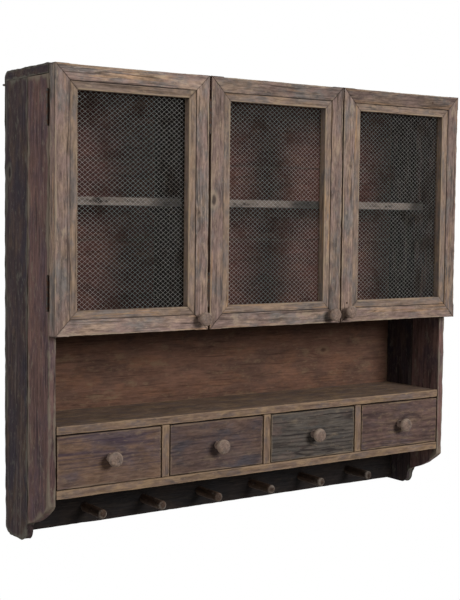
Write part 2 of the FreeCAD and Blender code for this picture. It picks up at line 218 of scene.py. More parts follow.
# each ramp: where it starts and ends, and what it gives there
woodRamps = {
    "bulge": (0, 0.5, 1, 0), "core": (0.05, 0.12, 1, 0), "rim": (0.12, 0.22, 1, 0),
    "clear": (0.38, 0.62, 0.15, 1), "shortChecks": (0.62, 0.7, 0, 1), "longCracks": (0.004, 0.022, 1, 0),
    "cracked": (0.5, 0.6, 0, 1), "cool": (0.44, 0.62, 0, 0.9), "warm": (0.47, 0.65, 0, 0.9),
    "streak": (0.58, 0.66, 0, 1), "scuff": (0.58, 0.66, 0, 0.5), "rubbed": (0.56, 0.7, 0, 0.65),
    "fibreShade": (0.25, 0.75, -1, 1), "fleckShade": (0.32, 0.68, -1.3, 1.3),
    "smudgeShade": (0.3, 0.7, 1.16, 0.84), "roughness": (0.2, 0.8, 0.92, 0.7),
    "patchyWear": (0.25, 0.75, -0.45, 0.45), "worn": (0.35, 0.95, 0, 1),
    "patchySoil": (0.3, 0.7, -0.25, 0.2), "soiledAndShaded": (0.3, 0.95, 0, 1),
}
noiseMean = 0.5
driftSet = {"perMetre": (2.2, 9, 9), "detail": 2.0, "acrossOnly": (0, 1, 1)}
knotSet = {"perMetre": (9.0, 15.0, 15.0), "spread": 0.8, "rimShare": 0.45, "coreShare": 0.8}
ringSet = {"askew": 0.02, "sharpness": 2.2}
# the soil share also sets how strong the painted shade in the compartments is
arrisShare = 0.75  # how much of the wood's colour wear and soil take away
woodBump = {"fibre": 0.55, "late": 0.3, "checks": 0.9, "core": 0.35, "strength": 0.7, "distance": 0.0007}


def makeWoodGroup():
    tree = bpy.data.node_groups.new("agedWood", "ShaderNodeTree")
    for name, kind in woodInputs.items():
        tree.interface.new_socket(name=name, in_out="INPUT", socket_type="NodeSocket" + kind)
    for name, kind in (("Color", "Color"), ("Roughness", "Float"), ("Normal", "Vector")):
        tree.interface.new_socket(name=name, in_out="OUTPUT", socket_type="NodeSocket" + kind)
    given = tree.nodes.new("NodeGroupInput").outputs
    result = tree.nodes.new("NodeGroupOutput").inputs

    def noiseOf(name, place):
        along, across, shift, detail, rough = woodNoises[name]
        return noise(tree, place, (along, across, across), shift, detail, rough)

    def share(name, value):
        return ramp(tree, value, *woodRamps[name])

    def patches(name, place):
        return share(name, noiseOf(name, place))

    def times(a, b):
        return calc(tree, "MULTIPLY", a, b)

    def stain(colour, amount, name):
        return mixTone(tree, amount, colour, given[name])

    # the grain wanders, and spreads round knots
    spot = stretched(tree, given["grain"], driftSet["perMetre"])
    drift = addNode(tree, "TexNoise", {"Vector": spot, "Scale": 1.0, "Detail": driftSet["detail"]}).outputs[1]
    drift = vectorCalc(tree, "SUBTRACT", drift, [noiseMean] * 3)
    drift = vectorCalc(tree, "MULTIPLY", drift, driftSet["acrossOnly"])
    swayed = vectorCalc(tree, "ADD", given["grain"], vectorCalc(tree, "SCALE", drift, given["sway"]))
    cellPlace = stretched(tree, swayed, knotSet["perMetre"])
    cells = addNode(tree, "TexVoronoi", {"Vector": cellPlace, "Scale": 1.0}).outputs
    chance = addNode(tree, "SeparateColor", {0: cells["Color"]}).outputs[0]
    without = calc(tree, "LESS_THAN", chance, given["knotRarity"])
    near = calc(tree, "ADD", cells["Distance"], without)
    core = share("core", near)
    rim = calc(tree, "SUBTRACT", share("rim", near), core)
    offset = vectorCalc(tree, "SUBTRACT", cellPlace, cells["Position"])
    spread = [0] + [knotSet["spread"] / count for count in knotSet["perMetre"][1:]]
    pull = vectorCalc(tree, "MULTIPLY", vectorCalc(tree, "SCALE", offset, share("bulge", near)), spread)
    ringed = vectorCalc(tree, "SUBTRACT", swayed, pull)

    # growth rings: distance from a pith that runs a little askew, clear in some places and faint in others
    fromPith = vectorCalc(tree, "SUBTRACT", ringed, given["pith"])
    apart = addNode(tree, "SeparateXYZ", {0: fromPith}).outputs
    askew = times(apart[0], ringSet["askew"])
    flat = addNode(tree, "CombineXYZ", {1: calc(tree, "ADD", apart[1], askew), 2: apart[2]}).outputs[0]
    away = addNode(tree, "VectorMath", {0: flat}, operation="LENGTH").outputs["Value"]
    turns = calc(tree, "ADD", calc(tree, "DIVIDE", away, given["ringPitch"]), noiseOf("jitter", swayed))
    late = times(calc(tree, "PINGPONG", turns, 0.5), 2)
    late = calc(tree, "POWER", late, ringSet["sharpness"])
    late = times(late, patches("clear", swayed))

    # fibres, checks and cracks run with the grain
    fibre = noiseOf("fibre", ringed)
    fleck = noiseOf("fleck", ringed)
    fromCrack = calc(tree, "ABSOLUTE", calc(tree, "SUBTRACT", noiseOf("longCracks", ringed), noiseMean))
    longCracks = times(share("longCracks", fromCrack), patches("cracked", ringed))
    checks = calc(tree, "MAXIMUM", patches("shortChecks", ringed), longCracks)
    smudge = noiseOf("smudge", given["grain"])
    scuff = calc(tree, "MAXIMUM", patches("scuff", given["grain"]), patches("rubbed", given["grain"]))

    # colours are laid one over another, the worn ones and the soil, which also lays painted shade, last
    blotched = vectorCalc(tree, "SCALE", swayed, given["blotch"])
    colour = stain(given["base"], patches("cool", blotched), "cool")
    colour = stain(colour, patches("warm", blotched), "warm")
    colour = stain(colour, times(patches("streak", blotched), given["streakForce"]), "streak")
    colour = stain(colour, times(late, given["ringForce"]), "dark")
    fine = calc(tree, "ADD", share("fibreShade", fibre), share("fleckShade", fleck))
    shade = calc(tree, "ADD", times(fine, given["fibreForce"]), share("smudgeShade", smudge))
    colour = stain(vectorCalc(tree, "SCALE", colour, shade), scuff, "worn")
    colour = vectorCalc(tree, "SCALE", colour, given["gain"])
    colour = stain(colour, times(checks, given["checkForce"]), "dark")
    colour = stain(colour, times(rim, knotSet["rimShare"]), "worn")
    colour = stain(colour, times(core, knotSet["coreShare"]), "dark")
    worn = share("worn", calc(tree, "ADD", given["wear"], share("patchyWear", smudge)))
    colour = stain(colour, times(worn, arrisShare), "worn")
    # the soil layer: real soil at seams and in patches, and painted shade where the sides' inner faces shut
    # off the compartments
    soiledAndShaded = share("soiledAndShaded", calc(tree, "ADD", given["grimeAndShade"], share("patchySoil", smudge)))
    colour = stain(colour, times(soiledAndShaded, arrisShare), "soil")
    tree.links.new(colour, result["Color"])
    tree.links.new(share("roughness", fibre), result["Roughness"])

    height = times(fibre, woodBump["fibre"])
    for hollow, name in ((late, "late"), (checks, "checks"), (core, "core")):
        height = calc(tree, "SUBTRACT", height, times(hollow, woodBump[name]))
    sockets = {"Strength": woodBump["strength"], "Distance": woodBump["distance"], "Height": height}
    tree.links.new(addNode(tree, "Bump", sockets).outputs[0], result["Normal"])
    return tree


woodGroup = makeWoodGroup()
woodShine = 0.12
grainTurns = {xAxis: (0, 0, 0), yAxis: (0, 0, -math.pi / 2), zAxis: (0, math.pi / 2, 0)}
nextBoard = (0.371, 0.153, 0.267)  # metres that the pattern moves on from board to board
# how far beside the middle of a piece its pith lies
piths = {"board": (0.045, 0.02), "stick": (0.02, 0.012), "drawer": (0.02, 0.03), "turned": (0.003, 0.002)}
woodCount = [0]


def agedWood(name, look, grain, middle, pith):
    # middle is the board's own centre, so that its rings curl about a pith beside it
    woodCount[0] += 1
    shift = Vector([woodCount[0] * step for step in nextBoard])
    material, tree = newMaterial(name)
    place = addNode(tree, "TexCoord", {}).outputs["Object"]
    turn = grainTurns[grain]
    lined = addNode(tree, "Mapping", {"Vector": place, "Rotation": turn, "Location": shift}).outputs[0]
    turned = Matrix.Rotation(turn[1], 3, "Y") @ Matrix.Rotation(turn[2], 3, "Z") @ Vector(middle) + shift
    wood = addNode(tree, "Group", {}, node_tree=woodGroup)
    tree.links.new(lined, wood.inputs["grain"])
    wood.inputs["pith"].default_value = turned + Vector((0, *piths[pith]))
    for attribute in ("wear", "grimeAndShade"):
        value = addNode(tree, "Attribute", {}, attribute_name=attribute).outputs["Fac"]
        tree.links.new(value, wood.inputs[attribute])
    for socket, value in look.items():
        wood.inputs[socket].default_value = tone(value) if isinstance(value, str) else value
    shader = addNode(tree, "BsdfPrincipled", {
        "Base Color": wood.outputs["Color"], "Roughness": wood.outputs["Roughness"],
        "Normal": wood.outputs["Normal"], "Specular IOR Level": woodShine,
    })
    closeMaterial(tree, shader)
    return material


# selection of pieces, and of their parts by place in edit mode
def choose(first, *others):
    bpy.ops.object.select_all(action="DESELECT")
    for piece in (first, *others):
        piece.select_set(True)
    bpy.context.view_layer.objects.active = first


def edit(piece):
    choose(piece)
    bpy.ops.object.mode_set(mode="EDIT")


def leaveEdit():
    bpy.ops.object.mode_set(mode="OBJECT")


def selectMesh():
    bpy.ops.mesh.select_all(action="SELECT")


def extrude(move):
    bpy.ops.mesh.extrude_region_move(TRANSFORM_OT_translate={"value": move})


def faceOutwards():
    selectMesh()
    bpy.ops.mesh.normals_make_consistent(inside=False)
    leaveEdit()


def applyPlace():
    bpy.ops.object.transform_apply(location=True, rotation=True, scale=True)


def pick(piece, kind, test):
    bpy.ops.mesh.select_mode(type={"verts": "VERT", "edges": "EDGE", "faces": "FACE"}[kind])
    bpy.ops.mesh.select_all(action="DESELECT")
    shape = bmesh.from_edit_mesh(piece.data)
    found = [part for part in getattr(shape, kind) if test(part)]
    for part in found:
        part.select_set(True)
    bmesh.update_edit_mesh(piece.data)
    return len(found)


def runsAlong(axis, least):
    def test(edge):
        run = edge.verts[1].co - edge.verts[0].co
        return abs(run[axis]) > least * run.length
    return test


def startBoard(name, low, high):
    low, high = Vector(low), Vector(high)
    bpy.ops.object.select_all(action="DESELECT")
    bpy.ops.mesh.primitive_cube_add(size=1, location=(low + high) / 2)
    piece = bpy.context.object
    piece.name = piece.data.name = name
    bpy.ops.transform.resize(value=high - low)
    applyPlace()
    return piece


# edges up to 1.4 pitches stay whole, and one of very many parts is first split in a few
cutSet = {"whole": 1.4, "mostParts": 90, "firstParts": 8, "alongGrain": 0.8, "acrossGrain": 0.6}


def crosscut(piece, axis, pitch, least=cutSet["acrossGrain"], where=None):
    # splits the edges that run along the axis into lengths of about the pitch
    along = runsAlong(axis, least)

    def test(edge):
        tooLong = edge.calc_length() > cutSet["whole"] * pitch
        return tooLong and along(edge) and (where is None or where(edge))

    while pick(piece, "edges", test):
        shape = bmesh.from_edit_mesh(piece.data)
        longest = max(edge.calc_length() for edge in shape.edges if edge.select)
        parts = round(longest / pitch)
        last = parts <= cutSet["mostParts"]
        bpy.ops.mesh.subdivide(number_cuts=(parts if last else cutSet["firstParts"]) - 1)
        if last:
            break


def gridCut(piece, grain, pitches):
    crosscut(piece, grain, pitches[0], cutSet["alongGrain"])
    for axis in (xAxis, yAxis, zAxis):
        if axis != grain:
            crosscut(piece, axis, pitches[1])


arrisSet = {"sharp": 0.6, "pointStep": 2 * mm, "steps": 2, "profile": 0.55}  # sharp is an angle in radians


def isSharp(edge):
    return len(edge.link_faces) == 2 and edge.calc_face_angle(0) > arrisSet["sharp"]


def sharpPoints(piece):
    # points along the piece's arrises, before they are rounded
    shape = bmesh.from_edit_mesh(piece.data)
    points = []
    for edge in shape.edges:
        if isSharp(edge):
            steps = max(1, round(edge.calc_length() / arrisSet["pointStep"]))
            points += [edge.verts[0].co.lerp(edge.verts[1].co, i / steps) for i in range(steps + 1)]
    return points


def soften(piece, width, test):
    def wanted(edge):
        return isSharp(edge) and test((edge.verts[0].co + edge.verts[1].co) / 2)

    if pick(piece, "edges", wanted):
        bpy.ops.mesh.bevel(
            offset=width, offset_type="OFFSET", segments=arrisSet["steps"], profile=arrisSet["profile"],
            affect="EDGES", clamp_overlap=True)


def markNear(piece, name, *lines):
    # an attribute that is 1 on the given lines of points and falls to 0 at each line's reach
    points = piece.data.vertices
    values = [0.0] * len(points)
    for line, reach in lines:
        if line:
            tree = KDTree(len(line))
            for number, point in enumerate(line):
                tree.insert(point, number)
            tree.balance()
            values = [max(old, 1 - tree.find(v.co)[2] / reach) for old, v in zip(values, points)]
    layer = piece.data.attributes.new(name, "FLOAT", "POINT")
    layer.data.foreach_set("value", values)
    return values


guide = bpy.data.objects.new("reliefGuide", None)
bpy.context.scene.collection.objects.link(guide)
reliefCount = [0]
reliefSet = {
    "octaves": 2, "nextPiece": (0.173, 0.291, 0.417),  # how far the noise moves on from piece to piece
    "grainSeed": 0.5, "nickSeed": 0.7,
    "swayStretch": 3, "grainStretch": 14, "faceLevel": 0.75, "nickLevel": 0.72, "turnedLevel": 0.7,
    "flatAngle": math.radians(40), "turnedAngle": math.radians(50),
}


def roughen(piece, size, depth, level, seed, group=""):
    # pushes the surface in and out by cloud noise of the given size along each axis
    texture = bpy.data.textures.new("relief", "CLOUDS")
    texture.noise_scale = 1.0
    texture.noise_depth = reliefSet["octaves"]
    guide.scale = size
    guide.location = [seed * step for step in reliefSet["nextPiece"]]
    bpy.context.view_layer.update()
    bpy.ops.object.modifier_add(type="DISPLACE")
    modifier = piece.modifiers[-1]
    modifier.texture = texture
    modifier.texture_coords = "OBJECT"
    modifier.texture_coords_object = guide
    modifier.strength = depth
    modifier.mid_level = level
    modifier.vertex_group = group
    bpy.ops.object.modifier_apply(modifier=modifier.name)
    bpy.data.textures.remove(texture)


arrisRounds = {"bare": "round", "joint": "jointRound", "seam": "seamRound", "mitre": "mitreRound"}


def allBare(point):
    return "bare"


def weather(piece, grain, age, kindAt):
    # rounds and chips the arrises, raises the grain and lets the faces wander
    reliefCount[0] += 1
    seed = reliefCount[0]
    found = {kind: [] for kind in arrisRounds}
    for point in sharpPoints(piece):
        found[kindAt(point)].append(point)
    for kind, width in arrisRounds.items():
        if found[kind]:
            soften(piece, age[width], lambda p: kindAt(p) == kind)
    leaveEdit()
    wear = markNear(piece, "wear", (found["bare"] + found["joint"], age["wearReach"]))
    markNear(piece, "grimeAndShade", (found["seam"], age["seamReach"]), (found["mitre"], age["mitreReach"]))
    group = piece.vertex_groups.new(name="arris")
    for number, value in enumerate(wear):
        if value > 0:
            group.add([number], value, "REPLACE")
    coarse = [age["swaySize"]] * 3
    fine = [age["grainSize"]] * 3
    coarse[grain] *= reliefSet["swayStretch"]
    fine[grain] *= reliefSet["grainStretch"]
    roughen(piece, coarse, age["sway"], reliefSet["faceLevel"], seed)
    roughen(piece, fine, age["relief"], reliefSet["faceLevel"], seed + reliefSet["grainSeed"])
    size = [age["nickSize"]] * 3
    roughen(piece, size, age["nick"], reliefSet["nickLevel"], seed + reliefSet["nickSeed"], "arris")
    piece.vertex_groups.clear()
    bpy.ops.object.shade_smooth_by_angle(angle=reliefSet["flatAngle"])


def joined(name, parts):
    choose(*parts)
    if len(parts) > 1:
        bpy.ops.object.join()
    parts[0].name = parts[0].data.name = name
    return parts[0]


def copyOf(blank, name, place):
    choose(blank)
    bpy.ops.object.duplicate(linked=False)
    piece = bpy.context.object
    piece.name = piece.data.name = name
    piece.location = place
    applyPlace()
    return piece


def placePiece(piece, body, node):
    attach(piece, body)
    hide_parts(node)
    return piece


def centre(low, high):
    return (Vector(low) + Vector(high)) / 2


caseAge = {
    "round": 1.6 * mm, "wearReach": 6 * mm, "seamReach": 4 * mm, "mitreReach": 4 * mm,
    "swaySize": 60 * mm, "sway": 1.0 * mm, "grainSize": 7 * mm, "relief": 0.7 * mm,
    "nickSize": 16 * mm, "nick": 2.2 * mm, "pitches": (11 * mm, 3 * mm),
}


def wornBoard(name, low, high, grain, look, age=caseAge, pith="board", shape=None, kindAt=allBare):
    piece = startBoard(name, low, high)
    edit(piece)
    if shape:
        shape(piece)
    gridCut(piece, grain, age["pitches"])
    weather(piece, grain, age, kindAt)
    piece.data.materials.append(agedWood(name, look, grain, centre(low, high), pith))
    return piece


sideFrontLook = plainFigure | {
    "base": "#674f4b", "cool": "#544448", "warm": "#735850", "streak": "#7a675d",
    "dark": "#302527", "worn": "#827768", "soil": "#241d1a",
    "ringForce": 0.6, "checkForce": 0.85, "ringPitch": 0.012,
}
sideRearLook = plainFigure | {
    "base": "#3d3132", "cool": "#302a31", "warm": "#4f4038", "streak": "#5e5450",
    "dark": "#1b1617", "worn": "#67635a", "soil": "#1c1816",
    "ringForce": 0.5, "checkForce": 0.75, "ringPitch": 0.013, "streakForce": 0.6, "blotch": 0.8,
    "knotRarity": 0.8,
}
# the case's inner boards are painted much darker than their wood: partly a dark stain, partly painted shade
# for the closed compartments
shadedCaseLook = plainFigure | {
    "base": "#221b18", "cool": "#1d1816", "warm": "#281f1b", "streak": "#302822",
    "dark": "#130f0d", "worn": "#40362e", "soil": "#110d0b",
}
# the inner shelves keep the dark case colour but get a pale band on the front edge: partly wear, partly
# painted light on the lit edge
innerShelfLook = shadedCaseLook | {"worn": "#877b72"}
shelfLook = plainFigure | {
    "base": "#776254", "cool": "#685b56", "warm": "#887159", "streak": "#987a56",
    "dark": "#3d3029", "worn": "#998067", "soil": "#241c17", "blotch": 1.6,
}
backLook = plainFigure | {
    "base": "#674b3e", "cool": "#594339", "warm": "#70503f", "streak": "#755a46",
    "dark": "#3c2a22", "worn": "#75604c", "soil": "#211813",
    "ringForce": 0.25, "fibreForce": 0.1, "sway": 0.006, "ringPitch": 0.006, "knotRarity": 0.97,
}
# a darker copy of the back boards' look for the boards behind the closed compartments: painted shade
shadedInsideLook = backLook | {
    "base": "#4a2d28", "cool": "#3c2622", "warm": "#51342b", "streak": "#52392c",
    "dark": "#271814", "worn": "#4a362e",
}
railLook = plainFigure | {
    "base": "#221d1c", "cool": "#1e1c1d", "warm": "#29221f", "streak": "#302a25",
    "dark": "#141111", "worn": "#352e27", "soil": "#141110",
}
columnPitch = 3 * mm


# a board's own outline: columns across the depth whose ends at the given level move to a height
def shapeColumns(piece, steepPlaces, level, heightAt):
    crosscut(piece, yAxis, columnPitch)
    for back in steepPlaces:
        selectMesh()
        bpy.ops.mesh.bisect(plane_co=(0, -back * mm, 0), plane_no=(0, 1, 0))
    shape = bmesh.from_edit_mesh(piece.data)
    columns = sorted({round(v.co.y, 5) for v in shape.verts})
    for y in columns:
        if abs(heightAt(y) - level) > hair:
            pick(piece, "verts", lambda v: abs(v.co.y - y) < close and abs(v.co.z - level) < close)
            bpy.ops.transform.translate(value=(0, 0, heightAt(y) - level))


# radius, and steep places where more columns stand, in millimetres from the wall
topShape = {"level": 24 * mm, "rearRadius": 14, "steepPlaces": (2.2, 1.4, 0.8, 0.4, 0.15)}


def topHeight(y):
    radius = topShape["rearRadius"]
    short = radius - max(0, -y / mm)
    if short <= 0:
        return topShape["level"]
    return topShape["level"] - (radius - math.sqrt(radius ** 2 - short ** 2)) * mm


def roundRear(piece):
    shapeColumns(piece, topShape["steepPlaces"], topShape["level"], topHeight)


# plain boards of the case: grain, look, age, slot and outline
# the inner shelves' wear reaches 30 mm, so the whole front edge turns pale: partly wear, partly painted light
wornAndLitEdgeAge = caseAge | {"wearReach": 30 * mm}
caseBoards = {
    "top_board": (xAxis, sideRearLook, caseAge, "side_rear_wood", roundRear),
    "cabinet_floor": (xAxis, shadedCaseLook, caseAge, "case_wood", None),
    "partition": (zAxis, shadedCaseLook, caseAge, "case_wood", None),
    "left_shelf": (xAxis, innerShelfLook, wornAndLitEdgeAge, "case_wood", None),
    "right_shelf": (xAxis, innerShelfLook, wornAndLitEdgeAge, "case_wood", None),
    "drawer_shelf": (xAxis, shelfLook, caseAge, "shelf_wood", None),
    "drawer_deck": (xAxis, shelfLook, caseAge, "shelf_wood", None),
    "peg_rail": (xAxis, railLook, caseAge, "rail_wood", None),
}
for node, (grain, look, age, slot, shape) in caseBoards.items():
    low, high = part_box(node)
    placePiece(wornBoard("worn_" + node, low, high, grain, look, age, shape=shape), "carcass", node)

# sides: the front board ends in a belly, the rear board in a cove and a rounded foot
sideShape = {
    "foot": -869 * mm, "bellyTop": -785 * mm, "aboveBelly": 12 * mm, "footPitch": 9 * mm,
    # outline of the foot as millimetres from the wall and up, each run an arc through three points
    "arcs": (
        ((185, -785), (150, -811), (97, -833)), ((97, -833), (91.5, -840.5), (88.5, -851.5)),
        ((88.5, -851.5), (84.3, -862), (72, -869)), ((18, -869), (5.27, -863.73), (0, -851)),
    ),
    "arcSlack": 0.001,
    "steepPlaces": (95.5, 92.5, 91, 90, 89.2, 88.7, 88.2, 87.6, 86.6, 1.6, 0.8, 0.3),
    "inside": 20 * mm,  # how far behind the front edge the inner arrises stay unrubbed
    # stain is how strong the painted shade on the inner faces inside the compartments is, and the depth says
    # how near that face a point must lie to take it
    "jointReach": 0.5 * mm, "stain": 0.8, "shadeDepth": 3 * mm,
}


def arcThrough(a, b, c):
    # centre and radius of the circle through three points
    ax, ay, bx, by, cx, cy = *a, *b, *c
    aa, bb, cc = ax * ax + ay * ay, bx * bx + by * by, cx * cx + cy * cy
    twice = 2 * (ax * (by - cy) + bx * (cy - ay) + cx * (ay - by))
    ux = (aa * (by - cy) + bb * (cy - ay) + cc * (ay - by)) / twice
    uy = (aa * (cx - bx) + bb * (ax - cx) + cc * (bx - ax)) / twice
    return ux, uy, math.hypot(ax - ux, ay - uy)


def footHeight(y):
    # height of a side's lower end at a place along the depth
    back = -y / mm
    slack = sideShape["arcSlack"]
    for a, b, c in sideShape["arcs"]:
        if c[0] - slack <= back <= a[0] + slack:
            ux, uy, radius = arcThrough(a, b, c)
            rise = math.sqrt(max(0, radius ** 2 - (back - ux) ** 2))
            below = b[1] < uy
            return (uy - rise if below else uy + rise) * mm
    return sideShape["foot"]


def shapeFoot(piece):
    cut = sideShape["bellyTop"] + sideShape["aboveBelly"]
    selectMesh()
    bpy.ops.mesh.bisect(plane_co=(0, 0, cut), plane_no=(0, 0, 1))
    lowest = min(v.co.z for v in bmesh.from_edit_mesh(piece.data).verts)
    shapeColumns(piece, sideShape["steepPlaces"], lowest, footHeight)

    def belowCut(edge):
        return min(v.co.z for v in edge.verts) < cut - mm

    crosscut(piece, zAxis, sideShape["footPitch"], where=belowCut)


def shadeInsideCompartment(piece, face, foot, head):
    # paints shade on the part of one face, at the given x, that shuts off a compartment: the soil tone laid
    # there stands in for the shade inside it
    layer = piece.data.attributes["grimeAndShade"]
    for vertex, value in zip(piece.data.vertices, layer.data):
        if abs(vertex.co.x - face) < sideShape["shadeDepth"] and foot < vertex.co.z < head:
            value.value = max(value.value, sideShape["stain"])


def sideKinds(side, innerFace):
    # inner arrises are darkened behind the front edge, and the joint of the two boards is crisp
    low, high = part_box(side + "_side_front_board")

    def kindAt(point):
        if abs(point.x - innerFace) < touch and point.y > low.y + sideShape["inside"]:
            return "mitre"
        return "joint" if abs(point.y - high.y) < sideShape["jointReach"] else "bare"
    return kindAt


sideAge = caseAge | {
    "wearReach": 15 * mm, "jointRound": 0.5 * mm, "mitreRound": 0.8 * mm, "mitreReach": 2.5 * mm,
    "sway": 1.6 * mm, "nick": 3.2 * mm, "nickSize": 22 * mm,
}
sideBoards = {
    "front": (sideFrontLook, "side_front_wood"),
    "rear": (sideRearLook, "side_rear_wood"),
}
for side in ("left", "right"):
    for board, (look, slot) in sideBoards.items():
        node = side + "_side_" + board + "_board"
        low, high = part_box(node)
        innerFace = high.x if side == "left" else low.x
        kindAt = sideKinds(side, innerFace)
        piece = wornBoard("worn_" + node, low, high, zAxis, look, sideAge, shape=shapeFoot, kindAt=kindAt)
        # painted shade on the inner face between the cabinet floor and the top board
        shadeInsideCompartment(piece, innerFace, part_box("cabinet_floor")[0].z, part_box("top_board")[0].z)
        placePiece(piece, "carcass", node)
print("case boards done")

# back boards, from the top down: each next one has a tongue that stands in a groove of the one above
backSeams = {
    "heights": (7, -138, -297, -455, -640, -762, -864), "gap": 0.8,  # millimetres
    "tongue": 3.4 * mm, "groove": 4.6 * mm, "half": 2.4 * mm, "facing": 0.9,
    "niche": 3,  # the board behind the open niche
}
low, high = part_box("back_boards")
midThick = (low.y + high.y) / 2


def tongueAndGroove(hasTongue, hasGroove):
    def shape(piece):
        crosscut(piece, yAxis, columnPitch)
        for wanted, way, move in ((hasTongue, 1, backSeams["tongue"]), (hasGroove, -1, backSeams["groove"])):
            def midOfEdge(face):
                aside = abs(face.calc_center_median().y - midThick)
                return face.normal.z * way > backSeams["facing"] and aside < backSeams["half"]

            if wanted:
                pick(piece, "faces", midOfEdge)
                extrude((0, 0, move))
    return shape


backAge = caseAge | {"pitches": (16 * mm, 4 * mm)}
parts = []
count = len(backSeams["heights"]) - 1
for number in range(count):
    upper = (backSeams["heights"][number] - (backSeams["gap"] if number else 0)) * mm
    lower = backSeams["heights"][number + 1] * mm
    ends = (low.x, low.y, lower), (high.x, high.y, upper)
    # the board behind the open niche keeps the lighter look, the others take the painted-shade copy
    look = backLook if number == backSeams["niche"] else shadedInsideLook
    shape = tongueAndGroove(number > 0, number < count - 1)
    parts.append(wornBoard("back_board_" + str(number + 1), *ends, xAxis, look, backAge, shape=shape))
placePiece(joined("worn_back_boards", parts), "carcass", "back_boards")

# dividers between the drawers, and cleats under the inner shelves
dividers = {"opening": 228 * mm, "thick": 18 * mm, "count": 3}
low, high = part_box("drawer_dividers")
parts = []
for number in range(dividers["count"]):
    x = low.x + number * (dividers["opening"] + dividers["thick"])
    ends = (x, low.y, low.z), (x + dividers["thick"], high.y, high.z)
    parts.append(wornBoard("divider_" + str(number + 1), *ends, zAxis, shelfLook))
placePiece(joined("worn_drawer_dividers", parts), "carcass", "drawer_dividers")

cleat = 12 * mm
partitionLow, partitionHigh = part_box("partition")
low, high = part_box("shelf_cleats")
parts = []
for number, x in enumerate((low.x, partitionLow.x - cleat, partitionHigh.x, high.x - cleat)):
    ends = (x, low.y, low.z), (x + cleat, high.y, high.z)
    parts.append(wornBoard("cleat_" + str(number + 1), *ends, yAxis, shadedCaseLook))
placePiece(joined("worn_shelf_cleats", parts), "carcass", "shelf_cleats")
print("back, dividers and cleats done")

# doors: mitred sticks, beads, strips behind the mesh
doorLook = plainFigure | {
    "base": "#836e66", "cool": "#706a66", "warm": "#957e6d", "streak": "#ab855c",
    "dark": "#3f342d", "worn": "#a8957f", "soil": "#3a312c",
    "blotch": 0.95, "sway": 0.006, "ringPitch": 0.006, "ringForce": 0.3, "fibreForce": 0.22,
    "streakForce": 0.4, "checkForce": 0.75, "knotRarity": 0.6,
}
beadLook = plainFigure | {
    "base": "#847165", "cool": "#6f6661", "warm": "#917a66", "streak": "#a9835c",
    "dark": "#46372d", "worn": "#a08c75", "soil": "#3a312c",
    "blotch": 1.4, "sway": 0.005, "ringPitch": 0.005, "ringForce": 0.22, "streakForce": 0.5,
}
stripLook = plainFigure | {
    "base": "#665245", "cool": "#5a4b42", "warm": "#705b48", "streak": "#7a6046",
    "dark": "#372b24", "worn": "#80705c", "soil": "#241c18",
    "blotch": 2.0, "sway": 0.005, "ringPitch": 0.006, "ringForce": 0.25,
}
stickAge = {
    "round": 1.1 * mm, "seamRound": 0.8 * mm, "mitreRound": 0.35 * mm,
    "wearReach": 5.5 * mm, "seamReach": 2.6 * mm, "mitreReach": 0.9 * mm,
    "swaySize": 45 * mm, "sway": 1.1 * mm, "grainSize": 4.5 * mm, "relief": 0.6 * mm,
    "nickSize": 14 * mm, "nick": 2.6 * mm, "pitches": (7 * mm, 2.2 * mm),
}
beadAge = stickAge | {"round": 1.0 * mm, "pitches": (8 * mm, 2.6 * mm), "sway": 0.5 * mm, "nick": 1.2 * mm}
stripAge = stickAge | {"round": 0.7 * mm, "pitches": (14 * mm, 4 * mm), "sway": 0.3 * mm, "nick": 0.8 * mm}


def mitredStick(name, low, high, run, inner, look, age, kindAt):
    # run is the stick's own direction, inner the side (+1 or -1) that faces the opening
    piece = startBoard(name, low, high)
    across = xAxis if run == zAxis else zAxis
    low, high = Vector(low), Vector(high)
    wide = high[across] - low[across]
    edge = high[across] if inner > 0 else low[across]
    edit(piece)
    for end, way in ((low, 1), (high, -1)):
        pick(piece, "verts", lambda v: abs(v.co[across] - edge) < close and abs(v.co[run] - end[run]) < close)
        move = Vector((0, 0, 0))
        move[run] = way * wide
        bpy.ops.transform.translate(value=move)
    gridCut(piece, run, age["pitches"])
    weather(piece, run, age, kindAt)
    piece.data.materials.append(agedWood(name, look, run, centre(low, high), "stick"))
    return piece


def mitredFrame(name, low, high, wide, look, age, seamed, only, gains):
    # the four sticks round an opening, or only the stiles or the rails
    # seamed says which long arrises lie against a neighbour: those at the inner or the outer side
    def kindAt(point):
        besideX = min(point.x - low.x, high.x - point.x)
        besideZ = min(point.z - low.z, high.z - point.z)
        if abs(min(besideX, besideZ) - (wide if seamed == "inner" else 0)) < touch:
            return "seam"
        return "mitre" if max(besideX, besideZ) < wide + touch else "bare"

    sticks = {
        "left": ((low.x, low.y, low.z), (low.x + wide, high.y, high.z), zAxis, 1),
        "right": ((high.x - wide, low.y, low.z), (high.x, high.y, high.z), zAxis, -1),
        "foot": ((low.x, low.y, low.z), (high.x, high.y, low.z + wide), xAxis, 1),
        "head": ((low.x, low.y, high.z - wide), (high.x, high.y, high.z), xAxis, -1),
    }
    parts = []
    for part in only:
        ownLook = look | {"gain": gains.get(part, 1)}
        parts.append(mitredStick(name + "_" + part, *sticks[part], ownLook, age, kindAt))
    return parts


# each layer: width of its sticks, look, age, seamed arrises, sticks, slot
allSticks = ("left", "right", "foot", "head")
doorLayers = {
    "stiles": (30 * mm, doorLook, stickAge, "inner", ("left", "right"), "door_wood"),
    "rails": (30 * mm, doorLook, stickAge, "inner", ("foot", "head"), "door_wood"),
    "beads": (16 * mm, beadLook, beadAge, "outer", allSticks, "bead_wood"),
    "mesh_strips": (12 * mm, stripLook, stripAge, "outer", allSticks, "bead_wood"),
}
